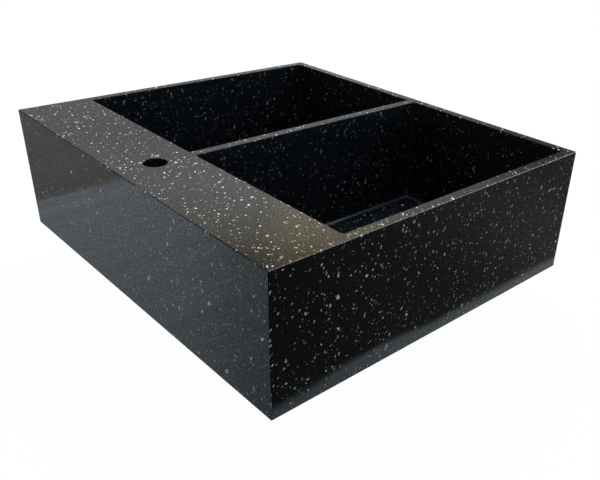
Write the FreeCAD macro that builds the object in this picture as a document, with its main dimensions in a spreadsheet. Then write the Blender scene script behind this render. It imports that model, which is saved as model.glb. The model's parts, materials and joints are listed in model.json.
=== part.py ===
import FreeCAD, Part
import os
import re

import Sketcher

# A double bowl kitchen sink made of mitred stone slabs, with a basket strainer waste in each bowl.
# The origin is the middle of the base, +X to the right of someone at the front, +Y to the tap deck, +Z up.

os.makedirs("parts", exist_ok=True)
doc = FreeCAD.newDocument("double_bowl_sink")

# Driving dimensions, in millimetres.
SIZES = (
    ("sink_length", 700, "left to right over the end panels"),
    ("sink_width", 610, "front to back over the aprons"),
    ("sink_height", 210, "base to rim"),
    ("slab", 16, "thickness of every panel"),
    ("deck_depth", 122, "rear face to the bowls"),
    ("arris", 0.8, "flat along every exposed edge"),
    ("floor_fall", 2, "drop of the floor from the walls to the drain"),
    ("floor_margin", 10, "level strip of floor along the walls"),
    ("drain_land", 5, "level strip of floor around the flange"),
    ("bead_leg", 2.5, "width of the adhesive bead on floor and wall"),
    ("bead_stop", 3, "rim to the top of the bead"),
    ("tap_bore", 35, "tap hole across"),
    ("cup_bore", 82, "strainer cup across, inside"),
    ("cup_wall", 2, "thickness of the cup"),
    ("cup_depth", 50, "flange to the floor of the cup"),
    ("cup_round", 4, "rounding at the foot of the cup"),
    ("mouth_round", 3, "rounding of the cup mouth"),
    ("bottom_wall", 2.5, "thickness of the cup floor"),
    ("drain_gap", 2, "cup to the stone around it"),
    ("flange_reach", 14, "cup to the edge of the flange"),
    ("flange_sheet", 1.5, "thickness of the flange"),
    ("flange_gap", 0.8, "flange edge to the stone"),
    ("seal_sheet", 1.5, "thickness of the seal under the flange"),
    ("seal_inset", 2, "flange edge to the edge of its seal"),
    ("seat_ledge", 11, "cup wall to the top of the stopper seat"),
    ("seat_drop", 5, "height of the conical seat"),
    ("outlet_across", 47.8, "outlet thread across"),
    ("outlet_wall", 3.9, "thickness of the outlet"),
    ("outlet_reach", 20, "length of the outlet thread"),
    ("arm_count", 4, "arms of the post guide in the outlet"),
    ("arm_width", 3, "width of each arm"),
    ("arm_height", 3, "height of each arm"),
    ("hub_wall", 3.1, "thickness of the ring in the middle of the arms"),
    ("hub_gap", 0.8, "stopper nut to the ring under it"),
    ("tip_gap", 0.4, "post to the ring around it"),
    ("thread_gap", 0.3, "cup to the rings around it"),
    ("gasket_reach", 13, "cup to the edge of the gasket under the stone"),
    ("gasket_sheet", 3, "thickness of the gasket"),
    ("washer_reach", 11, "cup to the edge of the friction washer"),
    ("washer_sheet", 1.5, "thickness of the friction washer"),
    ("nut_wall", 5.7, "thickness of the lock nut"),
    ("nut_height", 12, "height of the lock nut"),
    ("lug_count", 8, "lugs around the lock nut"),
    ("lug_width", 11, "width of each lug"),
    ("lug_reach", 5, "how far each lug stands out"),
    ("basket_gap", 1, "basket lip to the cup"),
    ("basket_sheet", 1, "thickness of the basket"),
    ("lip_width", 4, "width of the basket lip"),
    ("rim_drop", 5, "flange to the basket lip"),
    ("basket_taper", 3, "how much narrower the basket is at its foot"),
    ("basket_round", 5, "rounding of the basket foot"),
    ("slot_count", 24, "slots around the basket wall"),
    ("slot_width", 2.4, "width of each slot"),
    ("slot_margin", 3, "solid wall above and below the slots"),
    ("hole_bore", 3.2, "drain holes in the basket floor"),
    ("hole_step", 6, "holes in the inner ring, and more in each ring around it"),
    ("post_across", 6, "post through the stopper"),
    ("post_gap", 0.1, "post to the pieces that it holds"),
    ("post_end", 1.5, "how far the post passes its guide ring"),
    ("stem_shoulder", 1, "how far the stem stands out from the post"),
    ("knob_reach", 5, "how far the knob stands out from the stem"),
    ("knob_height", 7, "height of the knob"),
    ("knob_round", 2.5, "rounding of the knob"),
    ("knob_rise", 3, "basket lip to the top of the knob"),
    ("stopper_lift", 0.35, "stopper to its seat"),
    ("stopper_inset", 0.6, "edge of the stopper to the edge of the seat"),
    ("stopper_rim", 3.5, "height of the stopper edge"),
    ("stopper_crown", 1.5, "rise of the stopper from edge to neck"),
    ("stopper_round", 1, "rounding of the stopper edge"),
    ("neck_wall", 4.9, "thickness of the stopper neck"),
    ("neck_length", 5.5, "height of the stopper neck"),
    ("stopper_nut_wall", 2, "thickness of the stopper nut at its flats"),
    ("stopper_nut_height", 4, "height of the stopper nut"),
)

# Places that follow from the sizes.
PLACES = (
    ("half_length", "sink_length / 2"),
    ("half_width", "sink_width / 2"),
    ("half_arris", "arris / 2"),
    ("end_inner", "half_length - slab"),
    ("front_inner", "slab - half_width"),
    ("rear_inner", "half_width - slab"),
    ("bowl_rear", "half_width - deck_depth"),
    ("back_rear", "bowl_rear + slab"),
    ("half_divider", "slab / 2"),
    ("bowl_middle", "(end_inner + half_divider) / 2"),
    ("drain_place", "(front_inner + bowl_rear) / 2"),
    ("tap_place", "half_width - deck_depth / 2"),
    ("deck_under", "sink_height - slab"),
    ("drain_top", "slab - floor_fall"),
    ("bead_top", "sink_height - bead_stop"),
    ("cup_radius", "cup_bore / 2"),
    ("thread_radius", "cup_radius + cup_wall"),
    ("drain_radius", "thread_radius + drain_gap"),
    ("flange_radius", "thread_radius + flange_reach"),
    ("rebate_radius", "flange_radius + flange_gap"),
    ("land_half", "rebate_radius + drain_land"),
    ("flange_under", "drain_top - flange_sheet"),
    ("rebate_floor", "flange_under - seal_sheet"),
    ("cup_floor", "drain_top - cup_depth"),
    ("cup_under", "cup_floor - bottom_wall"),
    ("seat_radius", "cup_radius - seat_ledge"),
    ("seat_foot", "cup_floor - seat_drop"),
    ("outlet_outer", "outlet_across / 2"),
    ("outlet_radius", "outlet_outer - outlet_wall"),
    ("outlet_top", "seat_foot - bottom_wall"),
    ("outlet_end", "outlet_top - outlet_reach"),
    ("ring_bore", "thread_radius + thread_gap"),
    ("gasket_under", "-gasket_sheet"),
    ("washer_under", "gasket_under - washer_sheet"),
    ("nut_under", "washer_under - nut_height"),
    ("nut_radius", "ring_bore + nut_wall"),
    ("seat_slope", "seat_drop / (seat_radius - outlet_radius)"),
    ("stopper_radius", "seat_radius - stopper_inset"),
    ("stopper_toe", "outlet_radius + stopper_inset"),
    ("stopper_edge", "cup_floor - stopper_inset * seat_slope + stopper_lift"),
    ("stopper_foot", "seat_foot + stopper_inset * seat_slope + stopper_lift"),
    ("stopper_brim", "stopper_edge + stopper_rim"),
    ("stopper_crest", "stopper_brim + stopper_crown"),
    ("stopper_nut_under", "stopper_foot - stopper_nut_height"),
    ("hub_top", "stopper_nut_under - hub_gap"),
    ("hub_under", "hub_top - arm_height"),
    ("post_radius", "post_across / 2"),
    ("post_hole", "post_radius + post_gap"),
    ("post_tip", "hub_under - post_end"),
    ("guide_hole", "post_radius + tip_gap"),
    ("neck_radius", "post_hole + neck_wall"),
    ("stem_radius", "post_radius + stem_shoulder"),
    ("basket_under", "stopper_crest + neck_length"),
    ("basket_floor", "basket_under + basket_sheet"),
    ("rim_top", "drain_top - rim_drop"),
    ("rim_under", "rim_top - basket_sheet"),
    ("lip_radius", "cup_radius - basket_gap"),
    ("wall_radius", "lip_radius - lip_width"),
    ("foot_radius", "wall_radius - basket_taper"),
    ("foot_inner", "foot_radius - basket_sheet"),
    ("slot_foot", "basket_under + basket_round + slot_margin"),
    ("slot_head", "rim_under - slot_margin"),
    ("inner_ring", "neck_radius + hole_bore"),
    ("outer_ring", "foot_radius - basket_round - hole_bore / 2"),
    ("knob_radius", "stem_radius + knob_reach"),
    ("knob_top", "rim_top + knob_rise"),
    ("knob_under", "knob_top - knob_height"),
)

sheet = doc.addObject("Spreadsheet::Sheet", "Sizes")
for row, (name, value, note) in enumerate(SIZES, 1):
    sheet.set("A%d" % row, note)
    sheet.set("B%d" % row, str(value))
    sheet.setAlias("B%d" % row, name)

OWNER = {name: "Sizes" for name, _, _ in SIZES}
OWNER.update({name: "Places" for name, _ in PLACES})

# Where a sketch's geometry starts before its constraints place it, and how close an edge is to its place.
SKETCH_START = 9
EDGE_MATCH = 0.01


def formula(text):
    """The text with each size or place written as a reference to the object that owns it."""
    def reference(match):
        word = match.group(0)
        return OWNER[word] + "." + word if word in OWNER else word

    return re.sub(r"[a-z_]+", reference, text)


def bind(thing, prop, text):
    thing.setExpression(prop, formula(text))


places = doc.addObject("App::VarSet", "Places")
for name, text in PLACES:
    places.addProperty("App::PropertyFloat", name)
    bind(places, name, text)
doc.recompute()


def new_body(label, x=None, y=None):
    """An empty body, moved to (x, y) where these are given."""
    body = doc.addObject("PartDesign::Body", label)
    if x is not None:
        bind(body, "Placement.Base.x", x)
        bind(body, "Placement.Base.y", y)
    return body


def origin_of(body, role):
    return next(thing for thing in body.Origin.OriginFeatures if thing.Role == role)


def place_point(sketch, line, point):
    """Holds the start of a line at a point whose coordinates are formulas."""
    for kind, axis, text in (("DistanceX", -2, point[0]), ("DistanceY", -1, point[1])):
        if text == "0":
            sketch.addConstraint(Sketcher.Constraint("PointOnObject", line, 1, axis))
            continue
        vertex = sketch.getPoint(line, 1)
        start = vertex.x if kind == "DistanceX" else vertex.y
        held = sketch.addConstraint(Sketcher.Constraint(kind, -1, 1, line, 1, start))
        bind(sketch, "Constraints[%d]" % held, text)


def draw(body, plane, outlines, height=None):
    """A sketch on one of the body's own planes, with a closed outline through each list of points."""
    sketch = body.newObject("Sketcher::SketchObject", body.Label + "_outline")
    sketch.AttachmentSupport = [(origin_of(body, plane), "")]
    sketch.MapMode = "FlatFace"
    if height is not None:
        bind(sketch, "AttachmentOffset.Base.z", height)
    for outline in outlines:
        count = len(outline)
        first = sketch.GeometryCount
        start = FreeCAD.Vector(SKETCH_START, 0, 0)
        turns = [FreeCAD.Rotation(FreeCAD.Vector(0, 0, 1), 360 * corner / count) for corner in range(count)]
        spots = [turn.multVec(start) for turn in turns]
        for corner in range(count):
            sketch.addGeometry(Part.LineSegment(spots[corner], spots[(corner + 1) % count]), False)
        for corner in range(count):
            follows = first + (corner + 1) % count
            sketch.addConstraint(Sketcher.Constraint("Coincident", first + corner, 2, follows, 1))
        for corner, point in enumerate(outline):
            place_point(sketch, first + corner, point)
    return sketch


def draw_circle(body, x, y, radius, height="0"):
    """A sketch of one circle, level, at a height."""
    sketch = body.newObject("Sketcher::SketchObject", body.Label + "_circle")
    sketch.AttachmentSupport = [(origin_of(body, "XY_Plane"), "")]
    sketch.MapMode = "FlatFace"
    bind(sketch, "AttachmentOffset.Base.z", height)
    start = FreeCAD.Vector(SKETCH_START, SKETCH_START, 0)
    sketch.addGeometry(Part.Circle(start, FreeCAD.Vector(0, 0, 1), SKETCH_START), False)
    held = sketch.addConstraint(Sketcher.Constraint("Radius", 0, SKETCH_START))
    bind(sketch, "Constraints[%d]" % held, radius)
    for kind, axis, text in (("DistanceX", -2, x), ("DistanceY", -1, y)):
        if text == "0":
            sketch.addConstraint(Sketcher.Constraint("PointOnObject", 0, 3, axis))
        else:
            held = sketch.addConstraint(Sketcher.Constraint(kind, -1, 1, 0, 3, SKETCH_START))
            bind(sketch, "Constraints[%d]" % held, text)
    return sketch


def pad(body, sketch, length, middle=False):
    feature = body.newObject("PartDesign::Pad", body.Label + "_pad")
    feature.Profile = sketch
    feature.SideType = "Symmetric" if middle else "One side"
    bind(feature, "Length", length)
    return feature


def cut(body, sketch, length=None, middle=True):
    """A pocket of a given length, or right through the body where no length is given."""
    feature = body.newObject("PartDesign::Pocket", body.Label + "_cut")
    feature.Profile = sketch
    feature.SideType = "Symmetric" if middle else "One side"
    if length is None:
        feature.Type = "ThroughAll"
    else:
        bind(feature, "Length", length)
    return feature


def turn(body, outline):
    """A solid turned around the body's upright axis from points (radius, height)."""
    feature = body.newObject("PartDesign::Revolution", body.Label + "_turn")
    sketch = draw(body, "XZ_Plane", [outline])
    feature.Profile = sketch
    feature.ReferenceAxis = (sketch, ["V_Axis"])
    feature.Angle = 360
    body.Tip = feature
    return feature


def hopper(body, low, low_height, high, high_height):
    """Cuts a straight-sided funnel between two level outlines."""
    feature = body.newObject("PartDesign::SubtractiveLoft", body.Label + "_funnel")
    feature.Profile = draw(body, "XY_Plane", [low], low_height)
    feature.Sections = [draw(body, "XY_Plane", [high], high_height)]
    feature.Ruled = True
    body.Tip = feature
    return feature


def repeat(body, feature, count):
    """Repeats a pad or pocket evenly around the body's upright axis."""
    pattern = body.newObject("PartDesign::PolarPattern", body.Label + "_ring")
    pattern.Originals = [feature]
    pattern.Axis = (origin_of(body, "Z_Axis"), [""])
    pattern.Angle = 360
    bind(pattern, "Occurrences", count)
    body.Tip = pattern
    return pattern


def near(value, place):
    return abs(value - getattr(places, place)) < EDGE_MATCH


def ease(body, kind, rings, size):
    """Rounds or bevels the turned edges at each (radius, height), both names of places."""
    doc.recompute()
    base = body.Tip
    picked = []
    for number, edge in enumerate(base.Shape.Edges, 1):
        if not isinstance(edge.Curve, Part.Circle):
            continue
        for radius, height in rings:
            if near(edge.Curve.Radius, radius) and near(edge.Curve.Center.z, height):
                picked.append("Edge%d" % number)
    feature = body.newObject("PartDesign::" + kind, body.Label + "_" + kind.lower())
    feature.Base = (base, picked)
    bind(feature, "Radius" if kind == "Fillet" else "Size", size)
    body.Tip = feature
    return feature


def rectangle(x_low, x_high, y_low, y_high):
    return [(x_low, y_low), (x_high, y_low), (x_high, y_high), (x_low, y_high)]


def bowl_outline(side, grow):
    """The inside of one bowl in plan, larger all round by a formula."""
    return rectangle(
        "%d * (half_divider - (%s))" % (side, grow),
        "%d * (end_inner + (%s))" % (side, grow),
        "front_inner - (%s)" % grow,
        "bowl_rear + (%s)" % grow,
    )


def ease_mouths(body, sides):
    """Cuts the flat that runs around the mouth of each bowl."""
    for side in sides:
        hopper(
            body,
            bowl_outline(side, "0"), "sink_height - arris",
            bowl_outline(side, "2 * arris"), "sink_height + arris",
        )


def beside_mitre(side_x, side_y, long_panel):
    """In plan, what a corner mitre takes off a long panel or off an end panel."""
    x = "%d * (" % side_x
    y = "%d * (" % side_y
    inner = (x + "half_length - 2 * slab)", y + "half_width - 2 * slab)")
    tip = (x + "half_length - half_arris)", y + "half_width - half_arris)")
    beyond = (x + "half_length + slab)", y + "half_width + slab)")
    if long_panel:
        start = (x + "half_length - arris - slab)", beyond[1])
        return [start, tip, inner, (beyond[0], inner[1]), beyond]
    start = (beyond[0], y + "half_width - arris - slab)")
    return [start, tip, inner, (inner[0], beyond[1]), beyond]


# Stone panels: each is its section, drawn out along the panel and trimmed to the mitres at its ends.

front_apron = new_body("front_apron")
pad(front_apron, draw(front_apron, "YZ_Plane", [[
    ("arris - half_width", "0"),
    ("front_inner", "0"),
    ("front_inner", "sink_height"),
    ("arris - half_width", "sink_height"),
    ("-half_width", "sink_height - arris"),
    ("-half_width", "arris"),
]]), "sink_length", middle=True)
cut(front_apron, draw(front_apron, "XY_Plane", [beside_mitre(-1, -1, True), beside_mitre(1, -1, True)]))
ease_mouths(front_apron, (-1, 1))

rear_apron = new_body("rear_apron")
pad(rear_apron, draw(rear_apron, "YZ_Plane", [[
    ("rear_inner", "0"),
    ("half_width - arris", "0"),
    ("half_width", "arris"),
    ("half_width", "sink_height - arris"),
    ("half_width - half_arris", "sink_height - half_arris"),
    ("rear_inner", "deck_under"),
]]), "sink_length", middle=True)
cut(rear_apron, draw(rear_apron, "XY_Plane", [beside_mitre(-1, 1, True), beside_mitre(1, 1, True)]))

for side, label in ((-1, "left_end"), (1, "right_end")):
    end = new_body(label)
    outside = "%d * half_length" % side
    eased = "%d * (half_length - arris)" % side
    inside = "%d * end_inner" % side
    pad(end, draw(end, "XZ_Plane", [[
        (eased, "0"),
        (inside, "0"),
        (inside, "sink_height"),
        (eased, "sink_height"),
        (outside, "sink_height - arris"),
        (outside, "arris"),
    ]]), "sink_width", middle=True)
    cut(end, draw(end, "XY_Plane", [beside_mitre(side, -1, False), beside_mitre(side, 1, False)]))
    ease_mouths(end, (side,))

tap_deck = new_body("tap_deck")
pad(tap_deck, draw(tap_deck, "YZ_Plane", [[
    ("bowl_rear", "sink_height"),
    ("back_rear", "deck_under"),
    ("rear_inner", "deck_under"),
    ("half_width - half_arris", "sink_height - half_arris"),
    ("half_width - arris", "sink_height"),
]]), "sink_length", middle=True)
deck_ends = []
for side in (-1, 1):
    inside = "%d * end_inner" % side
    beyond = "%d * (half_length + slab)" % side
    deck_ends.append([
        ("%d * (half_length - arris - slab)" % side, "half_width + slab"),
        ("%d * (half_length - half_arris)" % side, "half_width - half_arris"),
        (inside, "rear_inner"),
        (inside, "bowl_rear - slab"),
        (beyond, "bowl_rear - slab"),
        (beyond, "half_width + slab"),
    ])
cut(tap_deck, draw(tap_deck, "XY_Plane", deck_ends))
cut(tap_deck, draw_circle(tap_deck, "0", "tap_place", "tap_bore / 2"))
ease_mouths(tap_deck, (-1, 1))

bowl_back = new_body("bowl_back")
pad(bowl_back, draw(bowl_back, "YZ_Plane", [[
    ("bowl_rear", "0"),
    ("back_rear", "0"),
    ("back_rear", "deck_under"),
    ("bowl_rear", "sink_height"),
]]), "2 * end_inner", middle=True)
ease_mouths(bowl_back, (-1, 1))

divider = new_body("divider")
pad(divider, draw(divider, "XY_Plane", [
    rectangle("-half_divider", "half_divider", "front_inner", "bowl_rear"),
]), "sink_height")
ease_mouths(divider, (-1, 1))


def make_floor(label, side):
    """A bowl floor that falls to a drain hole, with a rebate for the strainer flange."""
    body = new_body(label)
    drain_x = "%d * bowl_middle" % side
    pad(body, draw(body, "XY_Plane", [bowl_outline(side, "0")]), "slab")
    land = rectangle(
        "%d * (bowl_middle - land_half)" % side,
        "%d * (bowl_middle + land_half)" % side,
        "drain_place - land_half",
        "drain_place + land_half",
    )
    hopper(body, land, "drain_top", bowl_outline(side, "-floor_margin"), "slab")
    rebate = draw_circle(body, drain_x, "drain_place", "rebate_radius", "drain_top")
    cut(body, rebate, "flange_sheet + seal_sheet", middle=False)
    cut(body, draw_circle(body, drain_x, "drain_place", "drain_radius"))


def make_bead(label, side):
    """The adhesive bead along the foot of the bowl walls and up the four corners."""
    body = new_body(label)
    pad(body, draw(body, "XY_Plane", [bowl_outline(side, "0")], "slab"), "bead_top - slab")

    def clipped(inset):
        """The bowl outline, smaller by an inset, with its corners taken off by the bead."""
        near_x = "%d * (half_divider + %s" % (side, inset)
        far_x = "%d * (end_inner - %s" % (side, inset)
        front = "front_inner + %s" % inset
        rear = "bowl_rear - %s" % inset
        return [
            (near_x + " + bead_leg)", front),
            (far_x + " - bead_leg)", front),
            (far_x + ")", front + " + bead_leg"),
            (far_x + ")", rear + " - bead_leg"),
            (far_x + " - bead_leg)", rear),
            (near_x + " + bead_leg)", rear),
            (near_x + ")", rear + " - bead_leg"),
            (near_x + ")", front + " + bead_leg"),
        ]

    inside = draw(body, "XY_Plane", [clipped("0")], "bead_top")
    cut(body, inside, "bead_top - slab - bead_leg", middle=False)
    hopper(body, clipped("2 * bead_leg"), "slab - bead_leg", clipped("0"), "slab + bead_leg")


def make_ring(label, x, inner, outer, low, high):
    """A flat ring around the drain."""
    body = new_body(label, x, "drain_place")
    turn(body, [(inner, low), (outer, low), (outer, high), (inner, high)])
    return body


def make_strainer(label, x):
    """Flange, cup, conical seat and threaded outlet in one piece, with the arms that guide the post."""
    body = new_body(label, x, "drain_place")
    turn(body, [
        ("flange_radius", "flange_under"),
        ("flange_radius", "drain_top"),
        ("cup_radius", "drain_top"),
        ("cup_radius", "cup_floor"),
        ("seat_radius", "cup_floor"),
        ("outlet_radius", "seat_foot"),
        ("outlet_radius", "outlet_end"),
        ("outlet_outer", "outlet_end"),
        ("outlet_outer", "outlet_top"),
        ("seat_radius", "cup_under"),
        ("thread_radius", "cup_under"),
        ("thread_radius", "flange_under"),
    ])
    ease(body, "Fillet", [("cup_radius", "drain_top")], "mouth_round")
    ease(body, "Fillet", [("cup_radius", "cup_floor"), ("thread_radius", "cup_under")], "cup_round")
    ease(body, "Fillet", [("flange_radius", "drain_top")], "flange_sheet / 2")
    arm = pad(body, draw(body, "XY_Plane", [
        rectangle("0", "(outlet_radius + outlet_outer) / 2", "-arm_width / 2", "arm_width / 2"),
    ], "hub_under"), "arm_height")
    repeat(body, arm, "arm_count")
    pad(body, draw_circle(body, "0", "0", "guide_hole + hub_wall", "hub_under"), "arm_height")
    hub = draw_circle(body, "0", "0", "guide_hole", "hub_top")
    cut(body, hub, "arm_height", middle=False)


def make_lock_nut(label, x):
    """A ring nut with lugs to tighten it by."""
    body = make_ring(label, x, "ring_bore", "nut_radius", "nut_under", "washer_under")
    lug = pad(body, draw(body, "XY_Plane", [
        rectangle("ring_bore + nut_wall / 2", "nut_radius + lug_reach", "-lug_width / 2", "lug_width / 2"),
    ], "nut_under"), "nut_height")
    repeat(body, lug, "lug_count")


def make_basket(label, x):
    """The strainer basket: a thin tapered cup with a lip, slots around its wall and holes in its floor."""
    body = new_body(label, x, "drain_place")
    turn(body, [
        ("post_hole", "basket_under"),
        ("foot_radius", "basket_under"),
        ("wall_radius", "rim_under"),
        ("lip_radius", "rim_under"),
        ("lip_radius", "rim_top"),
        ("wall_radius - basket_sheet", "rim_top"),
        ("foot_inner", "basket_floor"),
        ("post_hole", "basket_floor"),
    ])
    ease(body, "Fillet", [("foot_inner", "basket_floor")], "basket_round - basket_sheet")
    ease(body, "Fillet", [("foot_radius", "basket_under")], "basket_round")
    slot = cut(body, draw(body, "XZ_Plane", [
        rectangle("foot_radius / 2", "lip_radius", "slot_foot", "slot_head"),
    ]), "slot_width")
    repeat(body, slot, "slot_count")
    for ring in range(3):
        reach = "inner_ring + %d * (outer_ring - inner_ring) / 2" % ring
        hole = cut(body, draw_circle(body, reach, "0", "hole_bore / 2", "basket_floor"), "2 * basket_sheet")
        repeat(body, hole, "%d * hole_step" % (ring + 1))


def make_knob(label, x):
    """Lifting knob and stem, with the thinner post that holds the stopper and finds the guide ring."""
    body = new_body(label, x, "drain_place")
    turn(body, [
        ("0", "knob_top"),
        ("knob_radius", "knob_top"),
        ("knob_radius", "knob_under"),
        ("stem_radius", "knob_under"),
        ("stem_radius", "basket_floor"),
        ("post_radius", "basket_floor"),
        ("post_radius", "post_tip"),
        ("0", "post_tip"),
    ])
    ease(body, "Fillet", [("knob_radius", "knob_top"), ("knob_radius", "knob_under")], "knob_round")
    ease(body, "Chamfer", [("post_radius", "post_tip")], "post_end / 2")


def make_stopper(label, x):
    """The rubber plug under the basket, whose flank runs parallel to the seat."""
    body = new_body(label, x, "drain_place")
    turn(body, [
        ("post_hole", "stopper_foot"),
        ("stopper_toe", "stopper_foot"),
        ("stopper_radius", "stopper_edge"),
        ("stopper_radius", "stopper_brim"),
        ("neck_radius", "stopper_crest"),
        ("neck_radius", "basket_under"),
        ("post_hole", "basket_under"),
    ])
    ease(body, "Fillet", [("stopper_radius", "stopper_brim")], "stopper_round")


def make_stopper_nut(label, x):
    """The hexagon nut on the post under the stopper."""
    body = new_body(label, x, "drain_place")
    side = "(post_radius + stopper_nut_wall)"
    corner = side + " * 2 / sqrt(3)"
    half = corner + " / 2"
    pad(body, draw(body, "XY_Plane", [[
        ("0", corner),
        ("-" + side, half),
        ("-" + side, "-" + half),
        ("0", "-" + corner),
        (side, "-" + half),
        (side, half),
    ]], "stopper_nut_under"), "stopper_nut_height")
    cut(body, draw_circle(body, "0", "0", "post_hole"))


for side, word in ((-1, "left_"), (1, "right_")):
    drain_x = "%d * bowl_middle" % side
    make_floor(word + "floor", side)
    make_bead(word + "corner_bead", side)
    make_ring(word + "flange_seal", drain_x, "drain_radius", "flange_radius - seal_inset",
              "rebate_floor", "flange_under")
    make_strainer(word + "strainer_body", drain_x)
    make_ring(word + "under_gasket", drain_x, "ring_bore", "thread_radius + gasket_reach",
              "gasket_under", "0")
    make_ring(word + "friction_washer", drain_x, "ring_bore", "thread_radius + washer_reach",
              "washer_under", "gasket_under")
    make_lock_nut(word + "lock_nut", drain_x)
    make_basket(word + "basket", drain_x)
    make_knob(word + "basket_knob", drain_x)
    make_stopper(word + "stopper", drain_x)
    make_stopper_nut(word + "stopper_nut", drain_x)

doc.recompute()

for thing in doc.Objects:
    if "Invalid" in thing.State or "Error" in thing.State:
        raise RuntimeError("%s did not build" % thing.Label)

for body in doc.findObjects("PartDesign::Body"):
    shape = body.Shape
    if shape.isNull() or not shape.isValid() or len(shape.Solids) != 1:
        raise RuntimeError("%s is not one sound solid" % body.Label)
    shape.exportStep("parts/%s.step" % body.Label)
    print("%-22s %10.1f mm3" % (body.Label, shape.Volume))
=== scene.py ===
import json
import math

import bmesh
import bpy
from mathutils import Matrix, Vector


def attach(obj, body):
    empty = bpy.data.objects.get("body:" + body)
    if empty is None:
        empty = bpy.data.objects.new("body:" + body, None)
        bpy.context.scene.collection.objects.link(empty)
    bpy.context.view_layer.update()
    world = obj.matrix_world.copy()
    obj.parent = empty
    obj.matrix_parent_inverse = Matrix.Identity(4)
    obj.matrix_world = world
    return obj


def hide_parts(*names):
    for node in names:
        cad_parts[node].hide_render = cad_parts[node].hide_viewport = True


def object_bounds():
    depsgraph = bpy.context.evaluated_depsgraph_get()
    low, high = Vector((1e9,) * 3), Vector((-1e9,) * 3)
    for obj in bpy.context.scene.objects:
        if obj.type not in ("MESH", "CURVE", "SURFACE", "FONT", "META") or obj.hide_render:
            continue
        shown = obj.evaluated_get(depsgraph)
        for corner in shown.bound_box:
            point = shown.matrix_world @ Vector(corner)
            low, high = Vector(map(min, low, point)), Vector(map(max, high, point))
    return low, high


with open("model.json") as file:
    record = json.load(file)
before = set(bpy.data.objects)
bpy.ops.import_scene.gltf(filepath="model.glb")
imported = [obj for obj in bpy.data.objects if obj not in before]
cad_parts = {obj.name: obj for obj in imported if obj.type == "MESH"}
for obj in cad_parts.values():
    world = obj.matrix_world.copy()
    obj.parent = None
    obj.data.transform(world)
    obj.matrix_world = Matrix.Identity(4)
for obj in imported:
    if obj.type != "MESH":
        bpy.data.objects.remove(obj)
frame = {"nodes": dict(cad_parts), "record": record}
nodes = frame["nodes"]
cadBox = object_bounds()
scene = bpy.context.scene
scene.view_settings.view_transform = "Standard"
print("frame loaded with", len(nodes), "nodes")


class Wire:
    def __init__(self, tree, socket=None):
        self.tree = tree
        self.socket = socket

    def make(self, kind, settings=None, inputs=None, output=0):  # any node: settings, then values and links
        node = self.tree.nodes.new(kind)
        for name, value in (settings or {}).items():
            setattr(node, name, value)
        for name, value in (inputs or {}).items():
            if isinstance(value, Wire):
                self.tree.links.new(value.socket, node.inputs[name])
            else:
                node.inputs[name].default_value = value
        return Wire(self.tree, node.outputs[output]) if node.outputs else None

    def other(self, output):  # another output of the same node
        return Wire(self.tree, self.socket.node.outputs[output])

    def maths(self, operation, first, second=0.0, third=0.0):
        return self.make("ShaderNodeMath", {"operation": operation}, {0: first, 1: second, 2: third})

    def __add__(self, value):
        return self.maths("ADD", self, value)

    def __radd__(self, value):
        return self.maths("ADD", value, self)

    def __sub__(self, value):
        return self.maths("SUBTRACT", self, value)

    def __rsub__(self, value):
        return self.maths("SUBTRACT", value, self)

    def __mul__(self, value):
        return self.maths("MULTIPLY", self, value)

    def __rmul__(self, value):
        return self.maths("MULTIPLY", value, self)

    def __pow__(self, value):
        return self.maths("POWER", self, value)

    def __lt__(self, value):
        return self.maths("LESS_THAN", self, value)

    def __gt__(self, value):
        return self.maths("GREATER_THAN", self, value)

    def ramp(self, low, high, start=0.0, end=1.0, kind="SMOOTHSTEP"):  # a step between two values
        return self.make("ShaderNodeMapRange", {"interpolation_type": kind},
                         {"Value": self, "From Min": low, "From Max": high, "To Min": start, "To Max": end})

    def toward(self, way):  # how far this vector points a given way
        return self.make("ShaderNodeVectorMath", {"operation": "DOT_PRODUCT"}, {0: self, 1: way}, "Value")

    def scaled(self, factor):  # a colour or vector, times a number
        return self.make("ShaderNodeVectorMath", {"operation": "SCALE"}, {0: self, 3: factor})

    def times(self, value):  # a colour, filtered by another
        return self.make("ShaderNodeVectorMath", {"operation": "MULTIPLY"}, {0: self, 1: value})

    def plus(self, value):  # a colour or vector, and another
        return self.make("ShaderNodeVectorMath", {"operation": "ADD"}, {0: self, 1: value})

    def mix(self, first, second):  # colours, by this wire
        return self.make("ShaderNodeMix", {"data_type": "RGBA"}, {0: self, 6: first, 7: second}, 2)

    def stops(self, first, *rest):  # colours along this wire, each stop a place and a colour
        last, tone = first[0], colour(*first[1])
        for spot, shade in rest:
            tone = self.ramp(last, spot).mix(tone, colour(*shade))
            last = spot
        return tone

    def blend(self, first, second):  # shaders, by this wire
        return self.make("ShaderNodeMixShader", None, {0: self, 1: first, 2: second})


def colour(red, green, blue):
    return (red, green, blue, 1.0)


def shaded(tone, factor):  # a colour, darker or lighter
    return colour(*[factor * c for c in tone])


def grey(level):
    return colour(level, level, level)


def newMaterial(name):
    material = bpy.data.materials.new(name)
    material.use_nodes = True
    material.node_tree.nodes.clear()
    return material, Wire(material.node_tree)


def surface(start, shader):
    start.make("ShaderNodeOutputMaterial", None, {"Surface": shader})


def place(start):  # where a point is on the object at rest, in metres
    return start.make("ShaderNodeTexCoord", output="Object")


def split(start, vector):
    first = start.make("ShaderNodeSeparateXYZ", None, {0: vector})
    return first, first.other(1), first.other(2)


def noise(start, where, scale, detail=2.0, roughness=0.5):
    return start.make("ShaderNodeTexNoise", {"noise_dimensions": "3D"},
                      {"Vector": where, "Scale": scale, "Detail": detail, "Roughness": roughness})


def bump(start, height, strength, distance):
    return start.make("ShaderNodeBump", None, {"Height": height, "Strength": strength, "Distance": distance})


softStep = (0.3, 0.7)  # most of what a noise gives

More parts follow.
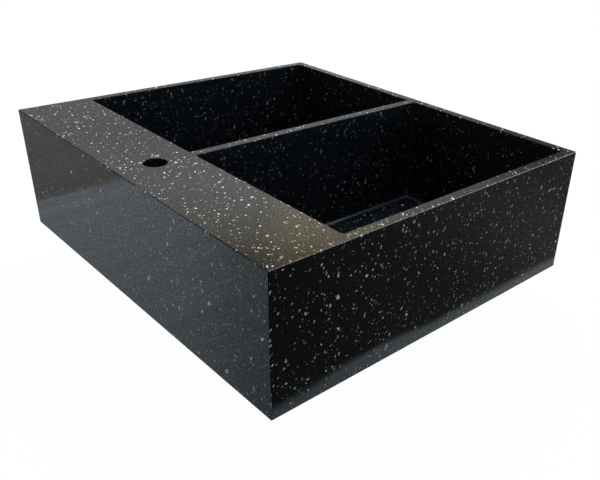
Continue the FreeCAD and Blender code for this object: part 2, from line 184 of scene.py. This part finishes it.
stone = {
    "ground": (0.0040, 0.0052, 0.0064), "groundRange": (0.6, 1.5), "cloud": 60.0,
    "rough": 0.09, "roughRange": (0.75, 1.3), "polish": 14.0, "chipRough": 0.10,
    "ragged": 0.0007, "shake": 900.0,
    "grain": 400.0, "glaze": 0.78, "glazeStep": (0.40, 0.60),
    "satin": 0.40, "honed": (0.0050, 0.0076, 0.0108), "honedRange": (0.6, 1.4), "honedStep": (0.35, 0.65),
    "bowls": {"length": 0.3344, "front": -0.2894, "rear": 0.1834, "top": 0.2085},
    # painted shade: chips inside the tap hole keep only this share of their lightness
    "bore": {"along": 0.244, "radius": 0.0178, "light": 0.3},
    "layers": (  # chips by size, and the share of the cells that are chips
        {"size": 0.0060, "stretch": (1.8, 0.75, 0.8), "turn": (0.3, 0.9, 0.5),
         "share": 0.0074, "edge": 0.12, "low": 0.30},
        {"size": 0.0045, "stretch": (0.7, 1.9, 0.8), "turn": (0.8, 0.2, 1.3),
         "share": 0.0125, "edge": 0.10, "low": 0.15},
        {"size": 0.0036, "stretch": (0.8, 0.7, 1.9), "turn": (0.5, 0.7, 0.2),
         "share": 0.0156, "edge": 0.10, "low": 0.12},
        {"size": 0.0026, "stretch": (1.5, 0.8, 0.9), "turn": (1.1, 0.5, 2.2),
         "share": 0.0176, "edge": 0.08, "low": 0.08},
        {"size": 0.0016, "stretch": (1.0, 1.2, 0.9), "turn": (0.2, 1.4, 0.9),
         "share": 0.0146, "edge": 0.06, "low": 0.06},
    ),
    "edgeRange": (0.7, 1.3), "contrast": 1.35,
    "white": (0.95, 0.95, 0.93), "tan": (0.66, 0.57, 0.45), "tanAbove": 0.90,
    "ior": 1.31, "coatRough": 0.05, "coatIor": 1.5,
    "wave": 22.0, "waveStrength": 0.02, "waveDepth": 0.002,
}


def stoneChips(start, where):  # which points are chip, how light the chip is, and a number for its tint
    shake = start.make("ShaderNodeTexNoise", None,
                       {"Vector": where, "Scale": stone["shake"], "Detail": 1.0}, "Color")
    jagged = where.plus(shake.plus((-0.5, -0.5, -0.5)).scaled(stone["ragged"] * 2))
    outerEdge, innerEdge = stone["edgeRange"]
    chipMask = None
    chipLight = None
    for layer in stone["layers"]:
        spot = start.make("ShaderNodeMapping", {"vector_type": "TEXTURE"},
                          {"Vector": jagged, "Rotation": layer["turn"], "Scale": layer["stretch"]})
        cells = {"Vector": spot, "Scale": 1 / layer["size"]}
        cell = start.make("ShaderNodeTexVoronoi", {"feature": "F1"}, cells, "Color")
        edge = start.make("ShaderNodeTexVoronoi", {"feature": "DISTANCE_TO_EDGE"}, cells, "Distance")
        part = start.make("ShaderNodeSeparateColor", None, {"Color": cell})
        mask = (part < layer["share"]) * edge.ramp(layer["edge"] * outerEdge, layer["edge"] * innerEdge)
        light = mask * (layer["low"] + (1 - layer["low"]) * part.other(1) ** stone["contrast"])
        chipMask = mask if chipMask is None else start.maths("MAXIMUM", chipMask, mask)
        chipLight = light if chipLight is None else start.maths("MAXIMUM", chipLight, light)
        tint = part.other(2)  # the finest layer's number serves all chips
    return chipMask, chipLight, tint


def blackStone():
    material, start = newMaterial("blackStone")
    where = place(start)
    chipMask, chipLight, tint = stoneChips(start, where)
    chip = (tint > stone["tanAbove"]).mix(colour(*stone["white"]), colour(*stone["tan"]))
    darkest, lightest = stone["groundRange"]
    cloud = noise(start, where, stone["cloud"], detail=4.0, roughness=0.6)
    ground = cloud.mix(shaded(stone["ground"], darkest), shaded(stone["ground"], lightest))
    across, along, height = split(start, where)
    bowls = stone["bowls"]
    inside = (start.maths("ABSOLUTE", across) < bowls["length"]) * (height < bowls["top"])
    inside = inside * (along > bowls["front"]) * (along < bowls["rear"])
    bore = stone["bore"]
    aside = along - bore["along"]
    drilled = start.maths("SQRT", across * across + aside * aside) < bore["radius"]
    honed = start.maths("MAXIMUM", inside, drilled)
    crystal = noise(start, where, stone["grain"], roughness=0.6)
    darkest, lightest = stone["honedRange"]
    dull = crystal.ramp(*stone["honedStep"])
    dull = dull.mix(shaded(stone["honed"], darkest), shaded(stone["honed"], lightest))
    # painted shade: the chips inside the tap hole are dimmed
    base = (chipLight * (1 - (1 - bore["light"]) * drilled)).mix(inside.mix(ground, dull), chip)
    smooth, coarse = stone["roughRange"]
    polish = noise(start, where, stone["polish"], detail=3.0)
    polish = polish.ramp(*softStep, stone["rough"] * smooth, stone["rough"] * coarse)
    glaze = crystal.ramp(*stone["glazeStep"], 0.0, stone["glaze"]) * (1 - honed)
    wave = noise(start, where, stone["wave"], detail=1.0)
    shader = start.make("ShaderNodeBsdfPrincipled", None, {
        "Base Color": base, "Roughness": polish + chipMask * stone["chipRough"] + honed * stone["satin"],
        "IOR": stone["ior"],
        "Coat Weight": glaze, "Coat Roughness": stone["coatRough"], "Coat IOR": stone["coatIor"],
        "Normal": bump(start, wave, stone["waveStrength"], stone["waveDepth"])})
    surface(start, shader)
    return material


drain = {"across": 0.171, "along": -0.053}  # the axis of each waste, left and right of the divider


def aroundDrain(start, where):  # distance from the waste's axis, the angle around it, and the height
    across, along, height = split(start, where)
    beside = start.maths("ABSOLUTE", across) - drain["across"]
    along = along - drain["along"]
    reach = start.maths("SQRT", beside * beside + along * along)
    return reach, start.maths("ARCTAN2", along, beside), height


def combined(start, first, second, third):
    return start.make("ShaderNodeCombineXYZ", None, {0: first, 1: second, 2: third})


steel = {
    "dark": (0.54, 0.51, 0.47), "pale": (0.80, 0.76, 0.70),
    "brush": 2600.0, "brushTurn": 2.5, "brushStep": (0.25, 0.75), "brushShare": 0.6, "smear": 70.0,
    "rough": 0.18, "brushRough": 0.10, "smearRough": 0.08, "strength": 0.10, "depth": 0.0002,
}


def turnedSteel():
    material, start = newMaterial("turnedSteel")
    where = place(start)
    reach, angle, height = aroundDrain(start, where)
    rings = combined(start, reach * steel["brush"], angle * steel["brushTurn"], height * steel["brush"])
    brush = noise(start, rings, 1.0, detail=3.0)
    smear = noise(start, where, steel["smear"], detail=3.0)
    line = brush.ramp(*steel["brushStep"])
    tone = line * steel["brushShare"] + smear.ramp(*softStep) * (1 - steel["brushShare"])
    shader = start.make("ShaderNodeBsdfPrincipled", None, {
        "Base Color": tone.mix(colour(*steel["dark"]), colour(*steel["pale"])), "Metallic": 1.0,
        "Roughness": steel["rough"] + steel["brushRough"] * line + steel["smearRough"] * smear,
        "Normal": bump(start, brush, steel["strength"], steel["depth"])})
    surface(start, shader)
    return material


rubber = {
    "dark": (0.010, 0.010, 0.011), "bloom": (0.034, 0.034, 0.035),
    "grain": 2200.0, "patch": 85.0, "patchStep": (0.35, 0.75),
    "rough": 0.55, "bloomRough": 0.2, "grainRough": 0.08, "ior": 1.5, "strength": 0.25, "depth": 0.0003,
}


def mouldedRubber():
    material, start = newMaterial("mouldedRubber")
    where = place(start)
    grain = noise(start, where, rubber["grain"])
    bloom = noise(start, where, rubber["patch"], detail=4.0, roughness=0.6).ramp(*rubber["patchStep"])
    shader = start.make("ShaderNodeBsdfPrincipled", None, {
        "Base Color": bloom.mix(colour(*rubber["dark"]), colour(*rubber["bloom"])),
        "Roughness": rubber["rough"] + rubber["bloomRough"] * bloom + rubber["grainRough"] * grain,
        "IOR": rubber["ior"], "Normal": bump(start, grain, rubber["strength"], rubber["depth"])})
    surface(start, shader)
    return material


fibre = {
    "dark": (0.33, 0.21, 0.11), "pale": (0.56, 0.40, 0.25), "fleck": (0.66, 0.54, 0.38),
    "strand": {"out": 900.0, "turn": 26.0, "up": 2400.0},
    "flecks": 1300.0, "fleckStep": (0.62, 0.72), "fleckShare": 0.6,
    "rough": 0.86, "strandRough": 0.1, "strength": 0.3, "depth": 0.0004,
}


def pressedFibre():
    material, start = newMaterial("pressedFibre")
    where = place(start)
    reach, angle, height = aroundDrain(start, where)
    strand = fibre["strand"]
    rings = combined(start, reach * strand["out"], angle * strand["turn"], height * strand["up"])
    strand = noise(start, rings, 1.0, detail=4.0, roughness=0.65).ramp(*softStep)
    fleck = noise(start, where, fibre["flecks"]).ramp(*fibre["fleckStep"])
    tone = strand.mix(colour(*fibre["dark"]), colour(*fibre["pale"]))
    shader = start.make("ShaderNodeBsdfPrincipled", None, {
        "Base Color": (fleck * fibre["fleckShare"]).mix(tone, colour(*fibre["fleck"])),
        "Roughness": fibre["rough"] + fibre["strandRough"] * strand,
        "Normal": bump(start, strand, fibre["strength"], fibre["depth"])})
    surface(start, shader)
    return material


zinc = {
    "dark": (0.34, 0.34, 0.36), "pale": (0.60, 0.60, 0.61),
    "skin": 620.0, "skinShare": 0.5, "patch": 55.0, "patchStep": (0.35, 0.7),
    "rough": 0.38, "dullRough": 0.22, "skinRough": 0.06, "strength": 0.22, "depth": 0.0004,
}


def castZinc():
    material, start = newMaterial("castZinc")
    where = place(start)
    skin = noise(start, where, zinc["skin"], detail=5.0, roughness=0.6)
    dull = noise(start, where, zinc["patch"], detail=4.0, roughness=0.6).ramp(*zinc["patchStep"])
    tone = zinc["skinShare"] * skin.ramp(*softStep) + (1 - zinc["skinShare"]) * dull
    shader = start.make("ShaderNodeBsdfPrincipled", None, {
        "Base Color": tone.mix(colour(*zinc["pale"]), colour(*zinc["dark"])), "Metallic": 1.0,
        "Roughness": zinc["rough"] + zinc["dullRough"] * dull + zinc["skinRough"] * skin,
        "Normal": bump(start, skin, zinc["strength"], zinc["depth"])})
    surface(start, shader)
    return material


bead = {
    "dark": (0.075, 0.081, 0.088), "pale": (0.125, 0.133, 0.145), "pore": (0.030, 0.033, 0.036),
    "upright": (0.022, 0.025, 0.029), "paintedShadeStep": (0.018, 0.040),  # painted shade: darker up the corners, and paler along the floor where the bead catches light, between two heights
    "smear": 130.0, "pores": 900.0, "poreStep": (0.66, 0.74), "poreShare": 0.5,
    "rough": 0.12, "smearRough": 0.10, "poreRough": 0.2, "ior": 1.5, "strength": 0.2, "depth": 0.0005,
}


def adhesiveBead():
    material, start = newMaterial("adhesiveBead")
    where = place(start)
    smear = noise(start, where, bead["smear"], detail=3.0)
    pore = noise(start, where, bead["pores"]).ramp(*bead["poreStep"])
    tone = smear.ramp(*softStep).mix(colour(*bead["dark"]), colour(*bead["pale"]))
    height = split(start, where)[2]
    # painted light and shade: the bead is paler low along the floor, where it catches light, and darker above
    # these heights up the corners
    tone = height.ramp(*bead["paintedShadeStep"]).mix(tone, colour(*bead["upright"]))
    shader = start.make("ShaderNodeBsdfPrincipled", None, {
        "Base Color": (pore * bead["poreShare"]).mix(tone, colour(*bead["pore"])),
        "Roughness": bead["rough"] + bead["smearRough"] * smear + bead["poreRough"] * pore,
        "IOR": bead["ior"], "Normal": bump(start, smear, bead["strength"], bead["depth"])})
    surface(start, shader)
    return material


dressings = {
    "black_stone": blackStone(),
    "adhesive_bead": adhesiveBead(),
    "stainless_steel": turnedSteel(),
    "black_rubber": mouldedRubber(),
    "fibre_washer": pressedFibre(),
    "zinc_nut": castZinc(),
}
for subpart in frame["record"]["subparts"]:
    part = nodes[subpart["node"]]
    part.data.materials.clear()
    part.data.materials.append(dressings[subpart["material_slot"]])
print("materials on", len(dressings), "slots")


creaseAngle = 32  # degrees: a sharper turn between two faces stays sharp


def closeMesh(name, mesh, weld, unit):  # weld, turn the faces outward, scale to metres and smooth
    bmesh.ops.remove_doubles(mesh, verts=mesh.verts, dist=weld)
    bmesh.ops.recalc_face_normals(mesh, faces=mesh.faces)
    bmesh.ops.scale(mesh, vec=(unit, unit, unit), verts=mesh.verts)
    data = bpy.data.meshes.new(name)
    mesh.to_mesh(data)
    mesh.free()
    data.shade_smooth()
    data.set_sharp_from_angle(angle=math.radians(creaseAngle))
    return data


strainer = {  # millimetres: radius and height
    "segments": 96, "weld": 0.002, "unit": 0.001,
    "outletBore": 20.0, "outletFoot": -63.5, "outletRadius": 23.9, "outletTop": -43.5, "outletFlat": 0.2,
    "seatFoot": -41.0, "seatRadius": 30.0,
    "cupRadius": 41.0, "cupFloor": -36.0, "cupUnder": -38.5, "footRound": 4.0, "mouthRound": 3.0,
    "flangeRadius": 57.0, "flangeTop": 14.0, "flangeUnder": 12.5, "flangeRound": 0.75, "threadRadius": 43.0,
    "cupThread": {"top": -1.0, "foot": -33.0, "pitch": 2.0, "depth": 0.75, "runOut": 3.0},
    "outletThread": {"top": -45.0, "foot": -63.3, "pitch": 2.2, "depth": 1.0, "runOut": 2.0},
    "armWidth": 3.0, "armTop": -45.15, "armUnder": -48.15, "armReach": 21.6, "armCount": 4,
    "armInset": 0.02, "armOverlap": 0.8,
    "hubHole": 3.4, "hubRadius": 6.5, "hubFlat": 0.3, "hubSegments": 48,
}


def arc(radius, height, size, start, end, steps=6):  # part of a circle in the profile, angles in degrees
    angles = [math.radians(start + (end - start) * k / steps) for k in range(steps + 1)]
    return [(radius + size * math.cos(a), height + size * math.sin(a)) for a in angles]


def turnedRows(profile, segments):  # one ring of points for each point of the profile
    return [[(radius, height)] * (segments + 1) for radius, height in profile]


def threadRows(radius, thread, segments):  # a helical thread, from its foot up: two rows of crest, two of root
    rows = []
    top, foot, pitch, runOut = thread["top"], thread["foot"], thread["pitch"], thread["runOut"]
    turns = math.ceil((top - foot) / pitch) + 1
    for i in range(4 * turns + 1):
        row = []
        for k in range(segments + 1):
            height = foot + pitch * (i / 4 + k / segments - 1)
            height = min(max(height, foot), top)
            fade = min(1.0, (height - foot) / runOut, (top - height) / runOut)
            row.append((radius - (thread["depth"] * fade if i % 4 > 1 else 0.0), height))
        rows.append(row)
    return rows


def addRows(mesh, rows, segments):  # skin a set of rings
    angles = [2 * math.pi * k / segments for k in range(segments + 1)]
    points = [[mesh.verts.new((radius * math.cos(angle), radius * math.sin(angle), height))
               for angle, (radius, height) in zip(angles, row)] for row in rows]
    for lower, upper in zip(points, points[1:]):
        for k in range(segments):
            mesh.faces.new((lower[k], lower[k + 1], upper[k + 1], upper[k]))


def strainerProfiles():  # from the outlet's foot up the inside and over the flange, and under the cup
    s = strainer
    inside = [
        (s["outletRadius"], s["outletThread"]["foot"]),
        (s["outletRadius"] - s["outletFlat"], s["outletFoot"]),
        (s["outletBore"], s["outletFoot"]),
        (s["outletBore"], s["seatFoot"]),
        (s["seatRadius"], s["cupFloor"]),
    ]
    inside += arc(s["cupRadius"] - s["footRound"], s["cupFloor"] + s["footRound"], s["footRound"], -90, 0)
    mouth, edge = s["mouthRound"], s["flangeRound"]
    inside += arc(s["cupRadius"] + mouth, s["flangeTop"] - mouth, mouth, 180, 90, 8)
    inside += arc(s["flangeRadius"] - edge, s["flangeTop"] - edge, edge, 90, 0)
    inside += [
        (s["flangeRadius"], s["flangeUnder"]),
        (s["threadRadius"], s["flangeUnder"]),
        (s["threadRadius"], s["cupThread"]["top"]),
    ]
    under = [
        (s["outletRadius"], s["outletThread"]["top"]),
        (s["outletRadius"], s["outletTop"]),
        (s["seatRadius"], s["cupUnder"]),
    ]
    under += arc(s["threadRadius"] - s["footRound"], s["cupUnder"] + s["footRound"], s["footRound"], -90, 0)
    under += [(s["threadRadius"], s["cupThread"]["foot"])]
    return inside, under


def addGuide(mesh):  # the ring that the basket's post runs in, and its arms
    s = strainer
    hole, hub, flat, low, high = s["hubHole"], s["hubRadius"], s["hubFlat"], s["armUnder"], s["armTop"]
    ring = [(hole, low), (hub - flat, low), (hub, low + flat), (hub, high - flat), (hub - flat, high),
            (hole, high), (hole, low)]
    addRows(mesh, turnedRows(ring, s["hubSegments"]), s["hubSegments"])
    half, low, high = s["armWidth"] / 2, low + s["armInset"], high - s["armInset"]
    section = ((-half, low), (half, low), (half, high), (-half, high))
    for k in range(s["armCount"]):
        spin = Matrix.Rotation(2 * math.pi * k / s["armCount"], 3, "Z")
        ends = [[mesh.verts.new(spin @ Vector((reach, y, z))) for y, z in section]
                for reach in (hub - s["armOverlap"], s["armReach"])]
        mesh.faces.new(ends[0][::-1])
        mesh.faces.new(ends[1])
        for j in range(4):
            mesh.faces.new((ends[0][j], ends[0][j - 3], ends[1][j - 3], ends[1][j]))


def strainerMesh(name):
    count = strainer["segments"]
    mesh = bmesh.new()
    inside, under = strainerProfiles()
    addRows(mesh, turnedRows(inside, count), count)
    addRows(mesh, threadRows(strainer["threadRadius"], strainer["cupThread"], count), count)
    addRows(mesh, turnedRows(under, count), count)
    addRows(mesh, threadRows(strainer["outletRadius"], strainer["outletThread"], count), count)
    addGuide(mesh)
    return closeMesh(name, mesh, strainer["weld"], strainer["unit"])


def makeStrainer(name, side, node):
    data = strainerMesh(name)
    data.transform(Matrix.Translation((side * drain["across"], drain["along"], 0)))
    data.materials.append(dressings["stainless_steel"])
    piece = bpy.data.objects.new(name, data)
    scene.collection.objects.link(piece)
    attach(piece, "sink")
    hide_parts(node)


makeStrainer("leftStrainer", -1, "left_strainer_body")
makeStrainer("rightStrainer", 1, "right_strainer_body")
print("threaded strainers made")


cove = {  # metres
    "corner": 0.006, "foot": 0.0042, "steps": 8, "floor": 0.016, "top": 0.2092,
    "front": -0.289, "rear": 0.183, "inner": 0.008, "outer": 0.334, "weld": 0.000002, "unit": 1.0,
}


def coveMesh(name, side):  # the bead, hollowed out with a round tool, along the floor and up the corners
    r, foot, steps, floor, top = cove["corner"], cove["foot"], cove["steps"], cove["floor"], cove["top"]
    low, high = sorted((side * cove["inner"], side * cove["outer"]))
    rear, front = cove["rear"] - r, cove["front"] + r
    middles = [(high - r, rear), (low + r, rear), (low + r, front), (high - r, front)]
    quarter = math.pi / 2
    mesh = bmesh.new()

    def point(j, angle, reach, height):
        x, y = middles[j % 4]
        return mesh.verts.new((x + reach * math.cos(angle), y + reach * math.sin(angle), height))

    def flat(height, *spots):  # a level face through plan points, each a corner, an angle and a reach
        mesh.faces.new([point(*spot, height) for spot in spots])

    def wall(first, second, heights):  # an upright strip between two plan points
        for below, above in zip(heights, heights[1:]):
            mesh.faces.new((point(*first, below), point(*second, below),
                            point(*second, above), point(*first, above)))

    stations = [(j, quarter * (j + k / steps)) for j in range(4) for k in range(steps + 1)]
    dips = [quarter * i / steps for i in range(steps + 1)]
    columns = [[point(j, angle, r - foot + foot * math.cos(dip), floor + foot - foot * math.sin(dip))
                for dip in dips] for j, angle in stations]
    for first, second in zip(columns, columns[1:] + columns[:1]):
        for i in range(steps):
            mesh.faces.new((first[i], second[i], second[i + 1], first[i + 1]))
    for j in range(4):
        start, end = quarter * j, quarter * (j + 1)
        sharp = (j, (start + end) / 2, r * math.sqrt(2))
        wall((j, start, r), sharp, (floor, floor + foot, top))
        wall(sharp, (j, end, r), (floor, floor + foot, top))
        wall((j, end, r), (j + 1, end, r), (floor, floor + foot))
        flat(floor, (j, end, r - foot), (j, end, r), (j + 1, end, r), (j + 1, end, r - foot))
        for angle in (start, end):
            flat(floor, sharp, (j, angle, r), (j, angle, r - foot))
        for k in range(steps):
            near, far = [start + (end - start) * step / steps for step in (k, k + 1)]
            wall((j, near, r), (j, far, r), (floor + foot, top))
            flat(top, sharp, (j, near, r), (j, far, r))
            flat(floor, sharp, (j, near, r - foot), (j, far, r - foot))
    return closeMesh(name, mesh, cove["weld"], cove["unit"])


def makeCove(name, side, node):
    data = coveMesh(name, side)
    data.materials.append(dressings["adhesive_bead"])
    piece = bpy.data.objects.new(name, data)
    scene.collection.objects.link(piece)
    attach(piece, "sink")
    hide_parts(node)


makeCove("leftCove", -1, "left_corner_bead")
makeCove("rightCove", 1, "right_corner_bead")
print("coves made")


camera = {
    "at": (-0.88203, 0.68973, 0.58929),
    "right": (-0.68583, -0.72638, 0.04491),
    "up": (0.38072, -0.30551, 0.87277),
    "back": (-0.62024, 0.61567, 0.48607),
    "sensor": 36.0, "lens": 42.2124, "clip": 0.01,
    "shift": (-0.10633, 0.03537),
}
lensData = bpy.data.cameras.new("photoCamera")
lensData.sensor_width = camera["sensor"]
lensData.lens = camera["lens"]
lensData.shift_x, lensData.shift_y = camera["shift"]
lensData.clip_start = camera["clip"]
photoCamera = bpy.data.objects.new("photoCamera", lensData)
turn = Matrix((camera["right"], camera["up"], camera["back"])).transposed().to_4x4()
photoCamera.matrix_world = Matrix.Translation(camera["at"]) @ turn
scene.collection.objects.link(photoCamera)
scene.camera = photoCamera
print("camera set")


def seenRay(start):
    ray = start.make("ShaderNodeLightPath", output="Is Camera Ray")
    return start.maths("MAXIMUM", ray, ray.other("Is Transmission Ray")), ray.other("Is Glossy Ray")


room = {  # what the polish mirrors; a span is where a soft edge starts and ends
    "fill": (0.024, 0.027, 0.032),
    "overhead": {"way": (-0.10, -0.10, 0.99), "span": (0.84, 0.96), "light": (1.12, 1.22, 1.36)},
    "heights": ((0.0, (0.35, 0.36, 0.36)), (0.30, (0.375, 0.375, 0.375)), (0.40, (0.63, 0.63, 0.62)),
                (0.45, (0.65, 0.60, 0.52)), (0.49, (0.34, 0.29, 0.22)), (0.62, (0.34, 0.43, 0.52))),
    "slant": ((-0.34, (0.27, 0.27, 0.23)), (-0.15, (0.66, 0.67, 0.58)), (0.03, (1.03, 1.03, 1.0))),
    "south": {"span": (-0.60, -0.40), "level": (1.25, 1.0)},
    "streak": {"span": (0.03, 0.16), "east": (0.50, 0.66), "dim": 0.8},  # dark, as the rear arris mirrors it
    "doorway": {"way": (0.672, -0.583, 0.457), "span": (0.9954, 0.9988), "light": (0.24, 0.19, 0.02)},
    "west": {"span": (-0.15, 0.05), "light": (0.36, 0.44, 0.52)},
    "sky": {"way": (-0.531, -0.651, 0.541), "span": (0.91, 0.965), "light": (1.25, 1.70, 2.20)},
    "window": {"way": (-0.411, -0.710, 0.572), "span": (0.955, 0.975), "light": 4.0,
               "side": (0.813, 0.0, 0.5825), "sideSpan": (0.05, 0.09)},
}


def makeWorld():
    world = bpy.data.worlds.new("studioWorld")
    world.use_nodes = True
    world.node_tree.nodes.clear()
    start = Wire(world.node_tree)
    seen, glossy = seenRay(start)
    way = start.make("ShaderNodeTexCoord", output="Generated")
    east, north, height = split(start, way)

    def patch(name):  # a soft round patch in the room
        return way.toward(room[name]["way"]).ramp(*room[name]["span"])

    level = north.ramp(*room["south"]["span"], *room["south"]["level"])
    mirrored = height.stops(*room["heights"]).times((east + north).stops(*room["slant"])).scaled(level)
    streak = room["streak"]
    shade = start.maths("ABSOLUTE", north - height).ramp(*streak["span"], 1.0, 0.0) * east.ramp(*streak["east"])
    mirrored = mirrored.scaled(1 - streak["dim"] * shade)
    mirrored = mirrored.plus(patch("doorway").mix(grey(0), colour(*room["doorway"]["light"])))
    west = patch("sky").mix(colour(*room["west"]["light"]), colour(*room["sky"]["light"]))
    mirrored = east.ramp(*room["west"]["span"]).mix(west, mirrored)
    beside = start.maths("ABSOLUTE", way.toward(room["window"]["side"]))
    pane = patch("window") * beside.ramp(*room["window"]["sideSpan"], 1.0, 0.0)
    mirrored = pane.mix(mirrored, grey(room["window"]["light"]))
    fill = patch("overhead").mix(colour(*room["fill"]), colour(*room["overhead"]["light"]))
    light = seen.mix(glossy.mix(fill, mirrored), grey(1))
    background = start.make("ShaderNodeBackground", None, {"Color": light})
    start.make("ShaderNodeOutputWorld", None, {"Surface": background})
    scene.world = world


studioFloor = {
    "size": 8.0, "gap": 0.0004, "pale": 0.98, "bounce": 0.4, "shadow": 0.02, "shadowSpan": (0.1, 0.6),
    "sink": (0.35, 0.305),  # half the sink's length and width
    "mat": ((0.10, (0.87, 1.0, 1.09)), (0.575, (0.86, 0.98, 1.07)),  # mirrored in the rear apron
            (0.592, (0.52, 0.52, 0.49)), (1.1, (0.43, 0.43, 0.42))),
    "matSpan": (0.36, 0.60), "matLevel": (0.36, 0.66), "weave": 26.0, "weaveLevel": (0.94, 1.06),
    "fold": {"slope": 1.42, "from": 0.36, "span": (-0.29, 0.0), "level": (0.70, 1.0)},
    "strip": ((-0.42, (0.62, 0.67, 0.70)), (-0.09, (0.58, 0.69, 0.73)),  # mirrored low in the left end
              (0.24, (0.48, 0.58, 0.63))),
    "dark": ((-0.90, (0.14, 0.14, 0.13)), (-0.55, (0.18, 0.18, 0.17)),  # mirrored above that
             (-0.15, (0.085, 0.085, 0.07)), (0.10, (0.06, 0.063, 0.058))),
    "hem": {"span": (-0.434, -0.418), "bow": 0.010, "rise": (-0.10, 0.02), "fall": (0.08, 0.20)},
}


def makeFloor():
    height = cadBox[0].z - studioFloor["gap"]
    mesh = bpy.data.meshes.new("studioFloor")
    half = studioFloor["size"] / 2
    corners = [(-half, -half, height), (half, -half, height), (half, half, height), (-half, half, height)]
    mesh.from_pydata(corners, [], [(0, 1, 2, 3)])
    floor = bpy.data.objects.new("studioFloor", mesh)
    scene.collection.objects.link(floor)
    material, start = newMaterial("studioFloor")
    seen, glossy = seenRay(start)
    across, along, _ = split(start, start.make("ShaderNodeNewGeometry", output="Position"))
    length, width = studioFloor["sink"]
    away = start.maths("MAXIMUM", start.maths("ABSOLUTE", across) - length,
                       start.maths("ABSOLUTE", along) - width)
    weave = start.make("ShaderNodeTexNoise", {"noise_dimensions": "1D"},
                       {"W": across, "Scale": studioFloor["weave"], "Detail": 2.0})
    fold = studioFloor["fold"]
    level = along.ramp(*studioFloor["matSpan"], *studioFloor["matLevel"], "LINEAR")
    level = level * weave.ramp(*softStep, *studioFloor["weaveLevel"])
    level = level * (across - fold["slope"] * (along - fold["from"])).ramp(*fold["span"], *fold["level"])
    rear = across.stops(*studioFloor["mat"]).scaled(level)
    hem = studioFloor["hem"]
    edge = across + hem["bow"] * along.ramp(*hem["rise"]) * along.ramp(*hem["fall"], 1.0, 0.0)
    end = edge.ramp(*hem["span"]).mix(along.stops(*studioFloor["dark"]), along.stops(*studioFloor["strip"]))
    glow = start.make("ShaderNodeEmission", None, {"Color": (across < -length).mix(rear, end)})
    white = start.make("ShaderNodeEmission", None, {"Color": grey(1)})
    pale = start.make("ShaderNodeBsdfDiffuse", None, {"Color": grey(studioFloor["pale"])})
    paint = start.make("ShaderNodeBsdfDiffuse", None, {"Color": grey(studioFloor["bounce"])})
    shown = away.ramp(*studioFloor["shadowSpan"], studioFloor["shadow"], 0.0).blend(white, pale)
    surface(start, seen.blend(glossy.blend(paint, glow), shown))
    mesh.materials.append(material)


lamps = {
    "farLamp": {"spot": (1.1, -1.1, 2.1), "size": (1.0, 1.0), "power": 60.0},
    "topLamp": {"spot": (0.30, -0.55, 2.3), "size": (0.5, 0.5), "power": 21.0},
    "nearLamp": {"spot": (-2.0, 1.35, 0.35), "size": (1.6, 0.5), "power": 4.4},
}
lampTint = (1.0, 0.99, 0.97)
lampAim = (0, 0, 0.1)


def makeLamp(name, spot, size, power):
    lampData = bpy.data.lights.new(name, "AREA")
    lampData.shape = "RECTANGLE"
    lampData.size, lampData.size_y = size
    lampData.energy = power
    lampData.color = lampTint
    lamp = bpy.data.objects.new(name, lampData)
    lamp.location = spot
    lamp.rotation_mode = "QUATERNION"
    lamp.rotation_quaternion = (Vector(spot) - Vector(lampAim)).to_track_quat("Z", "Y")
    lamp.visible_glossy = False
    scene.collection.objects.link(lamp)


makeWorld()
makeFloor()
for lampName, lampValues in lamps.items():
    makeLamp(lampName, **lampValues)
print("studio set")
